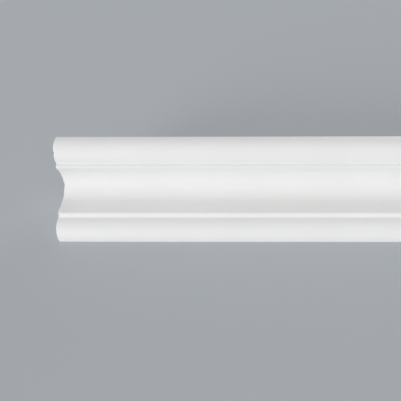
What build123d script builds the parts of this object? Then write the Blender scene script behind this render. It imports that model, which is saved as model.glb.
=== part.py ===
from build123d import *
import os
from math import cos, radians, tan

# Ceiling moulding: one extruded length of white polystyrene foam, in millimetres.
# It rests on its wall face. The ceiling face stands upright behind, and the shaped face
# looks forward and up. X runs along the length, Y points back and Z points up. The origin
# is at the middle of the length, on the resting plane, half way from front to back.

# The length of stock, and the bevel along its hidden rear corner
length = 2000.0
back_bevel = 15.0  # each way

# Members of the shaped face, in order from the toe up to the ceiling edge
toe_lip = 2.1  # upright edge at the toe
lower_round = 14.9  # radius of the lower quarter round
lower_flat = 2.4  # level strip behind the lower round
lower_fillet = 4.2  # upright step behind that strip
cove_run = 15.3  # level strip that leads into the cove
cove_radius = 18.3
cove_overhang = 31.5  # degrees that the cove curls forward past upright
nose_height = 3.6  # upright edge above the cove
nose_flat = 3.3  # level strip behind the nose
upper_riser = 2.1  # upright edge below the upper round
upper_round = 15.2  # radius of the upper quarter round
ceiling_flat = 3.3  # level strip at the ceiling edge

# Radii of the face's softened corners
step_hollow = 2.2  # inner corner at the foot of the step
step_arris = 1.7  # outer corner at the top of the step
under_arris = 2.5  # outer corner where the cove meets the nose
nose_arris = 1.5  # outer corner at the top of the nose
ledge_hollow = 0.9  # inner corner behind the nose
wall_share = 0.95  # the most of an upright or a strip that its softened corners may take

# The members added up, from the toe to the ceiling face
cove_reach = cove_radius * cos(radians(cove_overhang))
depth = lower_round + lower_flat + cove_run + cove_reach + nose_flat + upper_round + ceiling_flat

# The softened corners keep their radii where the uprights and strips between them leave room
step_room = min(lower_fillet / (step_hollow + step_arris), lower_flat / step_hollow)
under_take = under_arris * tan(radians(cove_overhang / 2))  # how much of the nose its lower corner takes
nose_room = min(
    nose_height / (under_take + nose_arris),
    nose_flat / (nose_arris + ledge_hollow),
    upper_riser / ledge_hollow,
)
step_share = min(1, wall_share * step_room)
nose_share = min(1, wall_share * nose_room)

with BuildPart() as ceiling_moulding:
    with BuildSketch(Plane.YZ.offset(-length / 2)) as section:
        with BuildLine() as outline:
            # The lower quarter round on its lip, and the step behind it
            lip = Line((-depth / 2, 0), (-depth / 2, toe_lip))
            lower_curve = JernArc(lip @ 1, lip % 1, lower_round, -90)
            lower_strip = Line(lower_curve @ 1, lower_curve @ 1 + (lower_flat, 0))
            step = Line(lower_strip @ 1, lower_strip @ 1 + (0, lower_fillet))

            # The cove, which curls forward to the nose
            cove_strip = Line(step @ 1, step @ 1 + (cove_run, 0))
            cove = JernArc(cove_strip @ 1, cove_strip % 1, cove_radius, 90 + cove_overhang)
            nose = Line(cove @ 1, cove @ 1 + (0, nose_height))
            nose_strip = Line(nose @ 1, nose @ 1 + (nose_flat, 0))

            # The upper quarter round, up to the ceiling edge
            riser = Line(nose_strip @ 1, nose_strip @ 1 + (0, upper_riser))
            upper_curve = JernArc(riser @ 1, riser % 1, upper_round, -90)
            ceiling_strip = Line(upper_curve @ 1, upper_curve @ 1 + (ceiling_flat, 0))

            # The ceiling face, the rear bevel and the wall face
            ceiling_face = Line(ceiling_strip @ 1, (depth / 2, back_bevel))
            bevel = Line(ceiling_face @ 1, (depth / 2 - back_bevel, 0))
            wall_face = Line(bevel @ 1, lip @ 0)
        make_face()

        softened = (
            (step @ 0, step_hollow * step_share),
            (step @ 1, step_arris * step_share),
            (nose @ 0, under_arris * nose_share),
            (nose @ 1, nose_arris * nose_share),
            (riser @ 0, ledge_hollow * nose_share),
        )
        for corner, radius in softened:
            fillet(section.vertices().sort_by_distance(corner)[0], radius)
    extrude(amount=length)

ceiling_moulding.part.label = "ceiling_moulding"
os.makedirs("parts", exist_ok=True)
export_step(ceiling_moulding.part, "parts/ceiling_moulding.step")
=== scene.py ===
from math import acos, ceil, cos, pi, radians, sin, sqrt, tan

import bpy
import numpy as np
from mathutils import Matrix, Vector, geometry, noise


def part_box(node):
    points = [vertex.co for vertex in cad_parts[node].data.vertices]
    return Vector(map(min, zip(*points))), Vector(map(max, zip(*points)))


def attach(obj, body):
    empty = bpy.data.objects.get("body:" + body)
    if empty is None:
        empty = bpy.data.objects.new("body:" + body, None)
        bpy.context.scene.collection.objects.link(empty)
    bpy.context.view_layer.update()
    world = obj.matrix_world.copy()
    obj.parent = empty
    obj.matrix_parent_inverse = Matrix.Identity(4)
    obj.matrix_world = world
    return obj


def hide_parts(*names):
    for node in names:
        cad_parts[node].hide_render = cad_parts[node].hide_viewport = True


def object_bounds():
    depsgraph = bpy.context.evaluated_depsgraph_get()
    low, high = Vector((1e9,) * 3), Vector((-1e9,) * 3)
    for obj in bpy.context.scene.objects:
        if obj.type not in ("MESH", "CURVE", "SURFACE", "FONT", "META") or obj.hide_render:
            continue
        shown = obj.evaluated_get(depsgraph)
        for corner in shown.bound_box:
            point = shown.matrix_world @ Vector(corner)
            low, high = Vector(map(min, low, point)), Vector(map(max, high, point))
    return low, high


# A length of white foam ceiling moulding on a pale floor. All sizes are in metres.
# X runs along the length, Y points back and Z points up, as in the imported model.

# Members of the section, in order from the toe up to the ceiling edge
TOE_LIP = 0.0021
LOWER_ROUND = 0.0149
LOWER_FLAT = 0.0024
LOWER_FILLET = 0.0042
COVE_RUN = 0.0153
COVE_RADIUS = 0.0183
COVE_OVERHANG = radians(31.5)
NOSE_HEIGHT = 0.0036
NOSE_FLAT = 0.0033
UPPER_RISER = 0.0021
UPPER_ROUND = 0.0152
CEILING_FLAT = 0.0033
BACK_BEVEL = 0.0150

# Radii of the section's softened corners
STEP_HOLLOW = 0.0022
STEP_ARRIS = 0.0017
UNDER_ARRIS = 0.0025
NOSE_ARRIS = 0.0015
LEDGE_HOLLOW = 0.0009
GLUE_ARRIS = 0.00025  # the outer edges of the glue faces
BEVEL_ARRIS = 0.0010  # the two edges of the rear bevel

# Spacing of the mesh
FACE_GAP = 0.0012  # between points across the face
GLUE_GAP = 0.0060  # between points across the glue faces
CORNER_TURN = radians(16)  # the most that one step turns
ROW_GAP_FINE = 0.00035  # between rows, beside a cut end or a pit
ROW_GAP_WIDE = 0.0090  # between rows, far from both
ROW_GROWTH = 0.11  # how fast the rows spread
CUT_GAP = 0.0005  # between points on a cut end
CUT_SCATTER = 0.3  # how far those points stray from a grid, in gaps
CUT_CLEARANCE = 0.8  # how far they keep from the rim, in gaps
CUT_SEED = 40
MERGE_DISTANCE = 1e-7  # points closer than this become one
SHARP_ANGLE = radians(50)  # edges that turn more than this stay sharp

# The two cut ends, and the way along X from each into the foam
LEFT, RIGHT = 1, 2
INWARD = {LEFT: 1, RIGHT: -1}

# Wear of the cut ends
RIM_ROUND = 0.00015  # how far the rim is rounded over
RIM_ROUND_REACH = 0.0006
RIM_CRUMBS = 0.00016  # how far crumbs are missing along the rim
RIM_CRUMBS_REACH = 0.0020
CRUMBLED_MEAN = 0.42  # how much of the rim is crumbled, then the swings about that
CRUMBLED_COARSE = 0.55
CRUMBLED_FINE = 0.35
SAW_WANDER = 0.00030  # how far the saw wandered
OPEN_CELLS = 0.00022  # depth of the opened cells

# Noises on the cut ends: a shift that sets them and the two ends apart, and waves per metre
COARSE_CRUMBS = (7.3, 260)
FINE_CRUMBS = (3.1, 700)
WANDER = (5.7, 45)
CELLS = (9.1, 900)

# Nicks in the left end: share of the face from toe to ceiling edge, depth, reach
NICKS = (
    (0.851, 0.0008, 0.0018),
    (0.530, 0.0007, 0.0030),
    (0.333, 0.0004, 0.0025),
    (0.247, 0.0008, 0.0018),
)

# The face is straight to within this much, in slow waves: so many in a metre, along and across
FACE_WAVE = 0.00012
WAVES_ALONG = 22
WAVES_ACROSS = 55

# Faint pits in the face: distance from the left end, share of the face, length, width, depth
PITS = (
    (0.1310, 0.931, 0.0075, 0.0024, 0.00030),
    (0.0628, 0.717, 0.0030, 0.0020, 0.00020),
    (0.0995, 0.571, 0.0050, 0.0040, 0.00012),
    (0.1950, 0.413, 0.0050, 0.0040, 0.00012),
    (0.2812, 0.378, 0.0040, 0.0035, 0.00012),
)
PIT_FADE = 1.4  # how fast a pit grows shallow away from its middle

# The foam's surface: darkest and lightest white, and how much each noise counts in them
FOAM_DARK = (0.861, 0.861, 0.854, 1)
FOAM_LIGHT = (0.889, 0.889, 0.883, 1)
MOTTLE_SHARE = 0.5
SPECKLE_SHARE = 0.25
STREAK_SHARE = 0.25
FACE_ROUGHNESS = (0.50, 0.62)
CUT_ROUGHNESS = 0.85
SCATTER_SHARE = 0.3
SCATTER_LENGTH = 0.0006

# Noises in the foam: waves per metre, and levels of finer detail
MOTTLE = (26, 4)
SPECKLE = (850, 2)
STREAKS = (420, 3)
GRAIN = (1500, 3)
NOISE_RANGE = (0.3, 0.7)  # what they mostly keep within
STREAK_STRETCH = 0.012  # waves along the length for each wave across it
CELL_WAVES = 1700

# Heights of the foam's relief
STREAK_HEIGHT = 0.000012
GRAIN_HEIGHT = 0.000014
CELL_HEIGHT = 0.00016

# The photograph's frame and viewpoint
IMAGE_WIDTH = 401  # pixels
FOCAL_LENGTH = 305.0  # pixels
SENSOR = 36.0  # millimetres
NEAR_CLIP = 0.01
CAMERA_FROM_END = 0.1369
CAMERA_FRONT = 0.1948
CAMERA_HEIGHT = 0.24535
CAMERA_ELEVATION = radians(49.19)
CAMERA_YAW = radians(0.687)
CAMERA_ROLL = radians(-0.544)

# Lamps: strength, width of the lit patch of sky, height above the horizon, turn to the left of the front
KEY = (1.83, radians(34), radians(6), radians(38))
FILL = (1.36, radians(140), radians(50), radians(38))
BACK = (1.30, radians(34), radians(4), radians(215))
SKY_STRENGTH = 0.25  # the light that comes from all round
SURROUND = (0.375, 0.396, 0.417, 1)  # what the camera and reflections see beyond the floor
FLOOR_COLOUR = (0.53, 0.56, 0.59, 1)
FLOOR_SIZE = 40.0


def section_walk():
    """The outline as runs, each with the radius and the turn to the left that end it, from the toe's
    lower edge. The first list is the shaped face, and the second is the glue faces."""
    right, left = -pi / 2, pi / 2
    under = acos((COVE_RADIUS * cos(COVE_OVERHANG) + UNDER_ARRIS) / (COVE_RADIUS + UNDER_ARRIS))
    under_rise = (COVE_RADIUS + UNDER_ARRIS) * sin(under) - COVE_RADIUS * sin(COVE_OVERHANG)
    face = (
        (TOE_LIP - GLUE_ARRIS, LOWER_ROUND, right),
        (LOWER_FLAT - STEP_HOLLOW, STEP_HOLLOW, left),
        (LOWER_FILLET - STEP_HOLLOW - STEP_ARRIS, STEP_ARRIS, right),
        (COVE_RUN - STEP_ARRIS, COVE_RADIUS, left + under),
        (0, UNDER_ARRIS, -under),
        (NOSE_HEIGHT - under_rise - NOSE_ARRIS, NOSE_ARRIS, right),
        (NOSE_FLAT - NOSE_ARRIS - LEDGE_HOLLOW, LEDGE_HOLLOW, left),
        (UPPER_RISER - LEDGE_HOLLOW, UPPER_ROUND, right),
        (CEILING_FLAT - GLUE_ARRIS, GLUE_ARRIS, right),
    )
    cove_rise = COVE_RADIUS * (1 + sin(COVE_OVERHANG))
    height = TOE_LIP + LOWER_ROUND + LOWER_FILLET + cove_rise + NOSE_HEIGHT + UPPER_RISER + UPPER_ROUND
    cove_reach = COVE_RADIUS * cos(COVE_OVERHANG)
    depth = LOWER_ROUND + LOWER_FLAT + COVE_RUN + cove_reach + NOSE_FLAT + UPPER_ROUND + CEILING_FLAT
    trim = BEVEL_ARRIS * tan(pi / 8)
    glue = (
        (height - BACK_BEVEL - GLUE_ARRIS - trim, BEVEL_ARRIS, right / 2),
        (BACK_BEVEL * sqrt(2) - 2 * trim, BEVEL_ARRIS, right / 2),
        (depth - BACK_BEVEL - GLUE_ARRIS - trim, GLUE_ARRIS, right),
    )
    return face, glue


def follow(walk, place, heading, gap):
    """Points along a walk without its first one, and the heading at its end."""
    points = []
    for run, radius, turn in walk:
        steps = ceil(run / gap)
        for _ in range(steps):
            place = place + run / steps * np.array((cos(heading), sin(heading)))
            points.append(place)
        steps = max(ceil(abs(turn) / CORNER_TURN), ceil(abs(turn) * radius / gap))
        chord = 2 * radius * sin(abs(turn) / steps / 2)
        for _ in range(steps):
            heading += turn / steps / 2
            place = place + chord * np.array((cos(heading), sin(heading)))
            heading += turn / steps / 2
            points.append(place)
    return points, heading


def section_outline(low):
    """The closed outline's points from the toe up, and how many of them belong to the face."""
    start = np.array((low.y, GLUE_ARRIS))
    face_walk, glue_walk = section_walk()
    face, heading = follow(face_walk, start, pi / 2, FACE_GAP)
    glue, _ = follow(glue_walk, face[-1], heading, GLUE_GAP)
    return np.array([start] + face + glue[:-1]), len(face) + 1


def row_places(length):
    """Distances from the left end, close together near the two cut ends and the pits."""
    spots = np.array([0.0, length] + [pit[0] for pit in PITS])
    rows = [0.0]
    while rows[-1] < length:
        nearest = np.abs(spots - rows[-1]).min()
        rows.append(rows[-1] + min(ROW_GAP_FINE + ROW_GROWTH * nearest, ROW_GAP_WIDE))
    return np.array(rows) * length / rows[-1]


def outward_normals(outline):
    """Unit normals of a closed outline that runs clockwise, with Y to the right and Z up."""
    along = np.roll(outline, -1, axis=0) - np.roll(outline, 1, axis=0)
    across = np.column_stack((-along[:, 1], along[:, 0]))
    return across / np.linalg.norm(across, axis=1)[:, None]


def zero_to_one(value):
    """Brings a noise that runs from -1 to 1 into 0 to 1."""
    return 0.5 + 0.5 * value


def unevenness(x, y, z):
    """Slow waves in the face, from 0 to 1."""
    return zero_to_one(noise.noise(Vector((x * WAVES_ALONG, y * WAVES_ACROSS, z * WAVES_ACROSS))))


def face_shares(outline, face_count):
    """How far along the face each of its points lies, from 0 at the toe to 1, and the face's length."""
    steps = np.linalg.norm(np.diff(outline[:face_count], axis=0), axis=1)
    return np.concatenate(([0], np.cumsum(steps))) / steps.sum(), steps.sum()


def pit_depths(places, shares, face_length):
    """Depth of the pits at every row and face point."""
    depth = np.zeros((len(places), len(shares)))
    for place, share, length, width, deep in PITS:
        along = (places - place)[:, None] / (length / 2)
        across = ((shares - share) * face_length)[None, :] / (width / 2)
        depth += deep * np.exp(-PIT_FADE * (along ** 2 + across ** 2))
    return depth


def end_place(side, kind, y, z):
    """Where one of the noises on the cut ends is read for a point of one end."""
    shift, waves = kind
    return Vector((side * shift, y * waves, z * waves))


def crumbled(side, y, z):
    """How far the rim of one end is crumbled, from 0 to 1."""
    coarse = noise.noise(end_place(side, COARSE_CRUMBS, y, z))
    fine = noise.noise(end_place(side, FINE_CRUMBS, y, z))
    return min(1.0, max(0.0, CRUMBLED_MEAN + CRUMBLED_COARSE * coarse + CRUMBLED_FINE * fine))


def rim_losses(side, spots, from_rim, nicks):
    """How far points of a cut end are worn back by crumbs, which keep to the rim, and by nicks."""
    crumbs = RIM_CRUMBS * np.array([crumbled(side, y, z) for y, z in spots])
    losses = crumbs * np.exp(-from_rim / RIM_CRUMBS_REACH)
    for centre, depth, reach in nicks:
        away = np.linalg.norm(spots - centre, axis=1) / reach
        losses += depth * np.exp(-away ** 2)
    return losses


def body_points(outline, face_count, places, losses):
    """A grid of points: one row for each place along the length, one column for each outline point."""
    length = places[-1]
    shares, face_length = face_shares(outline, face_count)
    inset = np.zeros((len(places), len(outline)))
    for row, place in enumerate(places):
        inset[row, 1:face_count - 1] = [unevenness(place, y, z) for y, z in outline[1:face_count - 1]]
    inset *= FACE_WAVE
    inset[:, :face_count] += pit_depths(places, shares, face_length)

    shift = np.zeros_like(inset)
    for side, from_end in ((LEFT, places), (RIGHT, length - places)):
        near = from_end[:, None]
        inset += RIM_ROUND * np.clip(1 - near / RIM_ROUND_REACH, 0, 1) ** 2
        shift += INWARD[side] * losses[side][None, :] * np.exp(-near / RIM_CRUMBS_REACH)

    points = np.zeros((len(places), len(outline), 3))
    points[:, :, 0] = places[:, None] - length / 2 + shift
    points[:, :, 1:] = outline[None] - outward_normals(outline)[None] * inset[:, :, None]
    return points


def body_faces(rows, columns):
    """The four-sided faces between the rows of that grid, with its columns closed into a ring."""
    faces = []
    for row in range(rows - 1):
        for column in range(columns):
            after = (column + 1) % columns
            here, there = row * columns, (row + 1) * columns
            faces.append((here + column, there + column, there + after, here + after))
    return faces


def rim_distance(spots, rim):
    """How far each spot lies from the nearest point of a rim."""
    return np.linalg.norm(spots[:, None, :] - rim[None, :, :], axis=2).min(axis=1)


def end_spots(rim, seed):
    """Scattered points inside a rim, evenly apart."""
    rng = np.random.default_rng(seed)
    low, high = rim.min(axis=0), rim.max(axis=0)
    grid = np.mgrid[low[0]:high[0]:CUT_GAP, low[1]:high[1]:CUT_GAP].reshape(2, -1).T
    spots = grid + rng.uniform(-CUT_SCATTER, CUT_SCATTER, grid.shape) * CUT_GAP
    return spots[rim_distance(spots, rim) > CUT_CLEARANCE * CUT_GAP]


def saw_depths(side, spots):
    """How far a sawn end lies behind its plane: the saw's wander and the opened cells."""
    depths = []
    for y, z in spots:
        wander = zero_to_one(noise.noise(end_place(side, WANDER, y, z)))
        cell = zero_to_one(noise.cell(end_place(side, CELLS, y, z)))
        depths.append(SAW_WANDER * wander + OPEN_CELLS * cell)
    return np.array(depths)


def close_end(side, rim, nicks, plane, first_rim, first_new):
    """The points inside one cut end, and its triangles in the whole mesh's numbering."""
    spots = end_spots(rim, CUT_SEED + side)
    corners = [Vector(point) for point in np.vstack((rim, spots))]
    loop = [(at, (at + 1) % len(rim)) for at in range(len(rim))]
    inside_only = 1
    joined = geometry.delaunay_2d_cdt(corners, loop, [], inside_only, MERGE_DISTANCE)
    flat, _, faces, origins, _, _ = joined
    on_rim = [bool(origin) and origin[0] < len(rim) for origin in origins]
    inside = np.array(flat)[~np.array(on_rim)]
    depths = saw_depths(side, inside) + rim_losses(side, inside, rim_distance(inside, rim), nicks)
    added = np.column_stack((plane + INWARD[side] * depths, inside))

    numbers, new = [], first_new
    for at, origin in enumerate(origins):
        numbers.append(first_rim + origin[0] if on_rim[at] else new)
        new += not on_rim[at]
    order = -INWARD[side]
    triangles = [[numbers[at] for at in face][::order] for face in faces]
    return added.tolist(), triangles


def left_nicks(outline, face_count):
    """The centre, depth and reach of each nick."""
    shares, _ = face_shares(outline, face_count)
    return [(outline[np.abs(shares - share).argmin()], depth, reach) for share, depth, reach in NICKS]


def moulding_mesh(points, faces, body_count):
    """The mesh, smooth but for its sharp edges. The points after the body's belong to the cut ends."""
    mesh = bpy.data.meshes.new("ceiling_moulding_foam")
    mesh.from_pydata(points, [], faces)
    mesh.polygons.foreach_set("use_smooth", [True] * len(mesh.polygons))
    mesh.set_sharp_from_angle(angle=SHARP_ANGLE)
    cut = mesh.attributes.new("cut_end", "FLOAT", "POINT")
    cut.data.foreach_set("value", [float(at >= body_count) for at in range(len(points))])
    return mesh


def make_moulding():
    """The moulding, with its worn ends and uneven face."""
    low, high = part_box("ceiling_moulding")
    outline, face_count = section_outline(low)
    nicks = {LEFT: left_nicks(outline, face_count), RIGHT: []}
    losses = {side: rim_losses(side, outline, np.zeros(len(outline)), nicks[side]) for side in nicks}

    grid = body_points(outline, face_count, row_places(high.x - low.x), losses)
    rows, columns = grid.shape[:2]
    points = grid.reshape(-1, 3).tolist()
    faces = body_faces(rows, columns)
    body_count = len(points)
    for side, row, plane in ((LEFT, 0, low.x), (RIGHT, rows - 1, high.x)):
        rim = grid[row][:, 1:]
        added, triangles = close_end(side, rim, nicks[side], plane, row * columns, len(points))
        points += added
        faces += triangles

    piece = bpy.data.objects.new("moulding", moulding_mesh(points, faces, body_count))
    bpy.context.scene.collection.objects.link(piece)
    return piece


def set_inputs(tree, made, inputs):
    """Sets inputs of a node. Each is a plain value, or another node's output to link."""
    for name, value in inputs.items():
        socket = made.inputs[name]
        if isinstance(value, bpy.types.NodeSocket):
            tree.links.new(value, socket)
        else:
            socket.default_value = value


def node(tree, kind, settings=None, **inputs):
    """A new node with its settings and inputs."""
    made = tree.nodes.new(kind)
    for name, value in (settings or {}).items():
        setattr(made, name, value)
    set_inputs(tree, made, inputs)
    return made


def noise_at(tree, place, waves, detail):
    """Noise from 0 to 1 with so many waves in a metre."""
    return node(tree, "ShaderNodeTexNoise", Vector=place, Scale=waves, Detail=detail).outputs["Fac"]


def weighed(tree, *pairs):
    """The sum of outputs, each times its weight."""
    total = 0
    for value, weight in pairs:
        part = node(tree, "ShaderNodeMath", {"operation": "MULTIPLY_ADD"})
        set_inputs(tree, part, {0: value, 1: weight, 2: total})
        total = part.outputs[0]
    return total


def ramp(tree, value, stops):
    """A colour that runs through the stops, each a place from 0 to 1 and a colour."""
    made = node(tree, "ShaderNodeValToRGB", Fac=value)
    for element, (place, colour) in zip(made.color_ramp.elements, stops):
        element.position = place
        element.color = colour
    return made.outputs["Color"]


def spread(tree, value, low, high, first, last):
    """Stretches values from low to high over first to last."""
    names = {"From Min": low, "From Max": high, "To Min": first, "To Max": last}
    return node(tree, "ShaderNodeMapRange", Value=value, **names).outputs["Result"]


def foam_relief(tree, place, streaks, cut):
    """The foam's streaks and grain, and the cells where it is cut."""
    grain = noise_at(tree, place, *GRAIN)
    cells = node(tree, "ShaderNodeTexVoronoi", Vector=place, Scale=CELL_WAVES).outputs["Distance"]
    drawn = node(tree, "ShaderNodeBump", Height=streaks, Distance=STREAK_HEIGHT).outputs["Normal"]
    skin = node(tree, "ShaderNodeBump", Height=grain, Distance=GRAIN_HEIGHT, Normal=drawn).outputs["Normal"]
    opened = node(tree, "ShaderNodeBump", Height=cells, Distance=CELL_HEIGHT, Strength=cut, Normal=skin)
    return opened.outputs["Normal"]


def foam_material():
    """White foam: a faintly mottled, streaked skin, and rougher open cells on the cut ends."""
    material = bpy.data.materials.new("foam")
    material.use_nodes = True
    tree = material.node_tree
    place = node(tree, "ShaderNodeTexCoord").outputs["Object"]
    stretch = (STREAK_STRETCH, 1, 1)
    drawn = node(tree, "ShaderNodeMapping", Vector=place, Scale=stretch).outputs["Vector"]
    cut = node(tree, "ShaderNodeAttribute", {"attribute_name": "cut_end"}).outputs["Fac"]
    mottle = noise_at(tree, place, *MOTTLE)
    speckle = noise_at(tree, place, *SPECKLE)
    streaks = noise_at(tree, drawn, *STREAKS)

    tone = weighed(tree, (mottle, MOTTLE_SHARE), (speckle, SPECKLE_SHARE), (streaks, STREAK_SHARE))
    face_roughness = spread(tree, mottle, *NOISE_RANGE, *FACE_ROUGHNESS)
    roughness = node(tree, "ShaderNodeMix", Factor=cut, A=face_roughness, B=CUT_ROUGHNESS)
    set_inputs(tree, tree.nodes["Principled BSDF"], {
        "Base Color": ramp(tree, tone, zip(NOISE_RANGE, (FOAM_DARK, FOAM_LIGHT))),
        "Roughness": roughness.outputs["Result"],
        "Normal": foam_relief(tree, place, streaks, cut),
        "Subsurface Weight": SCATTER_SHARE,
        "Subsurface Radius": (1, 1, 1),
        "Subsurface Scale": SCATTER_LENGTH,
    })
    return material


def make_floor():
    """A plain matte floor."""
    bpy.ops.mesh.primitive_plane_add(size=FLOOR_SIZE)
    floor = bpy.context.object
    floor.name = "floor"
    material = bpy.data.materials.new("floor")
    material.use_nodes = True
    shader = material.node_tree.nodes["Principled BSDF"]
    shader.inputs["Base Color"].default_value = FLOOR_COLOUR
    shader.inputs["Specular IOR Level"].default_value = 0
    floor.data.materials.append(material)


def make_lamp(name, strength, width, height, turn):
    """A far lamp, which lights the whole length alike."""
    lamp = bpy.data.lights.new(name, "SUN")
    lamp.energy = strength
    lamp.angle = width
    holder = bpy.data.objects.new(name, lamp)
    holder.rotation_euler = (pi / 2 - height, 0, -turn)
    bpy.context.scene.collection.objects.link(holder)


def make_sky():
    """Light from all round, which the camera and reflections see as a plain surround."""
    world = bpy.data.worlds.new("sky")
    world.use_nodes = True
    tree = world.node_tree
    light = node(tree, "ShaderNodeBackground", Color=(1, 1, 1, 1), Strength=SKY_STRENGTH)
    surround = node(tree, "ShaderNodeBackground", Color=SURROUND, Strength=1)
    rays = node(tree, "ShaderNodeLightPath").outputs
    kinds = ("Is Camera Ray", "Is Glossy Ray", "Is Transmission Ray")
    seen = weighed(tree, *[(rays[kind], 1) for kind in kinds])
    mixed = node(tree, "ShaderNodeMixShader", Fac=seen)
    set_inputs(tree, mixed, {1: light.outputs["Background"], 2: surround.outputs["Background"]})
    tree.links.new(mixed.outputs["Shader"], tree.nodes["World Output"].inputs["Surface"])
    tree.nodes.remove(tree.nodes["Background"])
    bpy.context.scene.world = world


def make_camera(low):
    """The camera at the photograph's viewpoint, placed from the left end."""
    data = bpy.data.cameras.new("camera")
    data.sensor_width = SENSOR
    data.lens = SENSOR * FOCAL_LENGTH / IMAGE_WIDTH
    data.clip_start = NEAR_CLIP
    camera = bpy.data.objects.new("camera", data)
    place = Vector((low.x + CAMERA_FROM_END, -CAMERA_FRONT, CAMERA_HEIGHT))
    turn = Matrix.Rotation(CAMERA_YAW, 4, "Z")
    pitch = Matrix.Rotation(pi / 2 - CAMERA_ELEVATION, 4, "X")
    roll = Matrix.Rotation(CAMERA_ROLL, 4, "Z")
    camera.matrix_world = Matrix.Translation(place) @ turn @ pitch @ roll
    bpy.context.scene.collection.objects.link(camera)
    bpy.context.scene.camera = camera


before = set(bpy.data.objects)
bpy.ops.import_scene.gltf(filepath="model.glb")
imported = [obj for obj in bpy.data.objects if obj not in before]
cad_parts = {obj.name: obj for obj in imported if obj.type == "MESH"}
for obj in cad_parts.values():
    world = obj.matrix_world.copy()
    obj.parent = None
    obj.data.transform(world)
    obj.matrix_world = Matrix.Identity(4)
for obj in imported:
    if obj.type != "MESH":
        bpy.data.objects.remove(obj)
cad_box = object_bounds()

moulding = make_moulding()
moulding.data.materials.append(foam_material())
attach(moulding, "root")
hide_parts("ceiling_moulding")

make_floor()
make_lamp("key", *KEY)
make_lamp("fill", *FILL)
make_lamp("back", *BACK)
make_sky()
make_camera(cad_box[0])
bpy.context.scene.view_settings.view_transform = "Standard"
